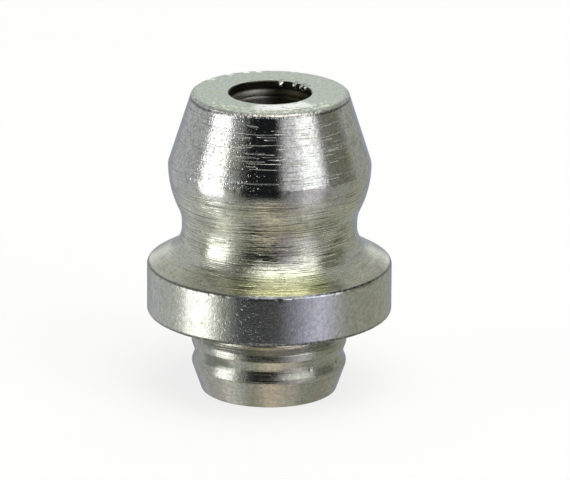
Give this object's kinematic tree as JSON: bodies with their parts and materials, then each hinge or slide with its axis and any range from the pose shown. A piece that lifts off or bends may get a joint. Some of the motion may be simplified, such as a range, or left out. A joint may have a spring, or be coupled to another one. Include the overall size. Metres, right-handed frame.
{
  "type": "grease nipple",
  "caption": "Straight drive-in grease nipple with a coned coupler head over a waisted neck, a flared collar and a short ridged press stem, with a sprung check ball inside.",
  "frame": {"origin": "centre of the collar's underside, the face that stops against the machine when the stem is driven home", "axes": "+Z along the axis of turning towards the coupler head; X and Y are free, since every section is round"},
  "size_m": [0.0078, 0.0078, 0.0099],
  "materials": {
    "plated_steel": "turned and zinc plated, clear passivated, small nicks",
    "ball_steel": "polished bearing ball",
    "spring_wire": "drawn spring wire, bright"
  },
  "bodies": {
    "body": {"nipple_body": "plated_steel", "return_spring": "spring_wire"},
    "ball": {"check_ball": "ball_steel"}
  },
  "joints": [
    {"name": "ball_lift", "type": "slide", "parent": "body", "child": "ball", "axis": [0, 0, 1], "range_m": [-0.001, 0], "stiffness_N_per_m": 366, "deforming": ["return_spring"]}
  ]
}
